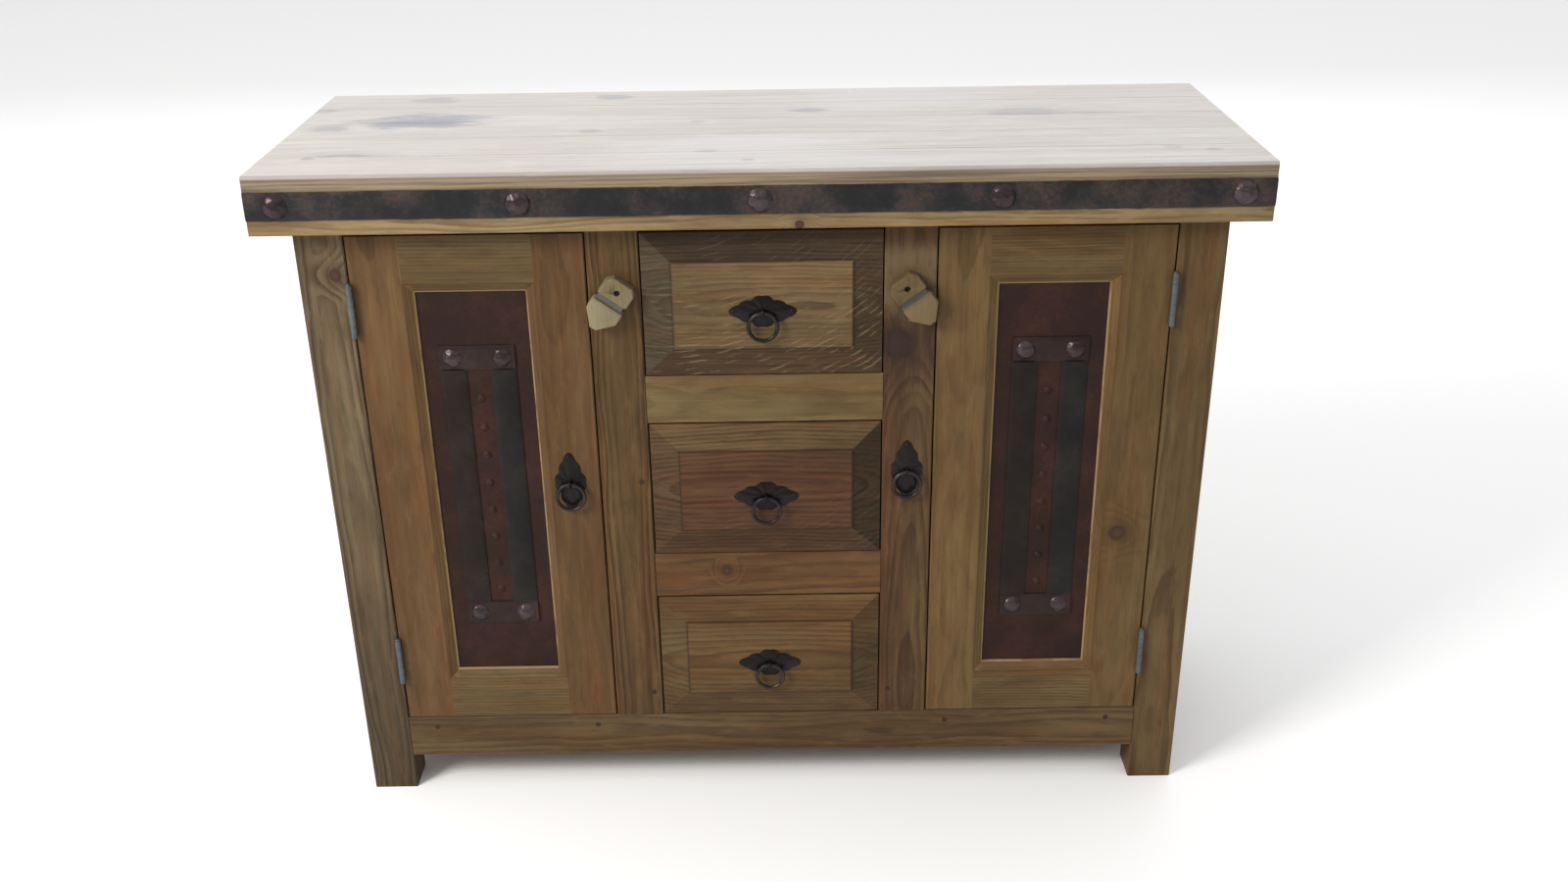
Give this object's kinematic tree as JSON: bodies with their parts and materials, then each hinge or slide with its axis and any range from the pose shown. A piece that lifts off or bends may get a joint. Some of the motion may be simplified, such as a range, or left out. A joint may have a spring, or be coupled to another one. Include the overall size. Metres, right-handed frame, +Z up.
{
  "type": "sideboard cabinet",
  "caption": "Rustic pine sideboard on post feet, with framed iron-panel doors beside a bank of drawers, ring pulls and wooden turn latches.",
  "frame": {"origin": "centre of the bounding box on the floor plane", "axes": "+Z up, +X to the right as seen from the front, -Y towards the front where the doors and drawers open"},
  "size_m": [1.372, 0.504, 1.016],
  "materials": {
    "top_wood": "worn stained pine with a slight sheen",
    "edge_wood": "worn stained pine",
    "frame_pine": "olive brown stained pine, waxed",
    "grey_pine": "greyish brown stained pine with knots, waxed",
    "door_pine": "golden brown stained pine, waxed",
    "drawer_pine": "wire-brushed stained pine, waxed",
    "inner_pine": "plain sawn pine, unfinished",
    "peg_wood": "dark end grain",
    "pale_wood": "bare pale wood, worn",
    "band_iron": "blackened forged iron with light rust",
    "clavo_iron": "hammered dark iron with a purple-brown sheen",
    "pull_iron": "blackened sheet iron",
    "ring_iron": "dark worn iron",
    "strap_iron": "dark grey-green strap iron",
    "rusted_iron": "dark maroon rusted sheet iron",
    "galvanised_steel": "dull galvanised steel"
  },
  "bodies": {
    "carcass": {"top_planks": "top_wood", "apron_front": "edge_wood", "apron_sides": "edge_wood", "iron_band": "band_iron", "band_clavos": "clavo_iron", "post_front_left": "grey_pine", "post_front_right": "frame_pine", "rear_posts": "frame_pine", "bottom_rail": "frame_pine", "lower_drawer_rail": "frame_pine", "upper_drawer_rail": "frame_pine", "top_rail": "frame_pine", "stile_left": "frame_pine", "stile_right": "frame_pine", "side_rails": "frame_pine", "side_panels": "frame_pine", "rear_rails": "inner_pine", "back_boards": "inner_pine", "floor_board": "inner_pine", "partitions": "inner_pine", "shelves": "inner_pine", "bearers": "inner_pine", "drawer_runners": "inner_pine", "wood_pegs": "peg_wood", "right_pull_plate": "pull_iron", "frame_hinge_leaves": "galvanised_steel", "hinge_pins": "galvanised_steel", "latch_screws": "galvanised_steel"},
    "door_left": {"door_left_stiles": "door_pine", "door_left_rails": "door_pine", "door_left_panel": "rusted_iron", "door_left_straps": "strap_iron", "door_left_nails": "clavo_iron", "door_left_hinge_leaves": "galvanised_steel", "left_pull_plate": "pull_iron"},
    "door_right": {"door_right_stiles": "door_pine", "door_right_rails": "door_pine", "door_right_panel": "rusted_iron", "door_right_straps": "strap_iron", "door_right_nails": "clavo_iron", "door_right_hinge_leaves": "galvanised_steel"},
    "latch_left": {"latch_left": "pale_wood"},
    "latch_right": {"latch_right": "pale_wood"},
    "left_ring": {"left_pull_ring": "ring_iron"},
    "right_ring": {"right_pull_ring": "ring_iron"},
    "drawer_top": {"drawer_top_front": "drawer_pine", "drawer_top_box": "inner_pine", "drawer_top_base": "inner_pine", "drawer_top_pull_plate": "pull_iron"},
    "top_ring": {"drawer_top_pull_ring": "ring_iron"},
    "drawer_middle": {"drawer_middle_front": "drawer_pine", "drawer_middle_box": "inner_pine", "drawer_middle_base": "inner_pine", "drawer_middle_pull_plate": "pull_iron"},
    "middle_ring": {"drawer_middle_pull_ring": "ring_iron"},
    "drawer_bottom": {"drawer_bottom_front": "drawer_pine", "drawer_bottom_box": "inner_pine", "drawer_bottom_base": "inner_pine", "drawer_bottom_pull_plate": "pull_iron"},
    "bottom_ring": {"drawer_bottom_pull_ring": "ring_iron"}
  },
  "joints": [
    {"name": "door_left_hinge", "type": "hinge", "parent": "carcass", "child": "door_left", "pos_m": [-0.5715, -0.21, 0.528], "axis": [0, 0, -1], "range_deg": [0, 175]},
    {"name": "door_right_hinge", "type": "hinge", "parent": "carcass", "child": "door_right", "pos_m": [0.5715, -0.21, 0.528], "axis": [0, 0, 1], "range_deg": [0, 175]},
    {"name": "latch_left_turn", "type": "hinge", "parent": "carcass", "child": "latch_left", "pos_m": [-0.20005, -0.215, 0.84], "axis": [0, 1, 0], "range_deg": [-35, 54]},
    {"name": "latch_right_turn", "type": "hinge", "parent": "carcass", "child": "latch_right", "pos_m": [0.20005, -0.215, 0.84], "axis": [0, -1, 0], "range_deg": [-35, 54]},
    {"name": "drawer_top_slide", "type": "slide", "parent": "carcass", "child": "drawer_top", "axis": [0, -1, 0], "range_m": [0, 0.3]},
    {"name": "drawer_middle_slide", "type": "slide", "parent": "carcass", "child": "drawer_middle", "axis": [0, -1, 0], "range_m": [0, 0.3]},
    {"name": "drawer_bottom_slide", "type": "slide", "parent": "carcass", "child": "drawer_bottom", "axis": [0, -1, 0], "range_m": [0, 0.3]},
    {"name": "drawer_top_ring_swing", "type": "hinge", "parent": "drawer_top", "child": "top_ring", "pos_m": [0, -0.2223, 0.80733], "axis": [-1, 0, 0], "range_deg": [-4, 120]},
    {"name": "drawer_middle_ring_swing", "type": "hinge", "parent": "drawer_middle", "child": "middle_ring", "pos_m": [0, -0.2223, 0.51967], "axis": [-1, 0, 0], "range_deg": [-4, 120]},
    {"name": "drawer_bottom_ring_swing", "type": "hinge", "parent": "drawer_bottom", "child": "bottom_ring", "pos_m": [0, -0.2223, 0.232], "axis": [-1, 0, 0], "range_deg": [-4, 120]},
    {"name": "left_ring_swing", "type": "hinge", "parent": "door_left", "child": "left_ring", "pos_m": [-0.2869, -0.2143, 0.543], "axis": [-1, 0, 0], "range_deg": [-1.5, 120]},
    {"name": "right_ring_swing", "type": "hinge", "parent": "carcass", "child": "right_ring", "pos_m": [0.2056, -0.2143, 0.555], "axis": [-1, 0, 0], "range_deg": [-1.5, 120]}
  ]
}
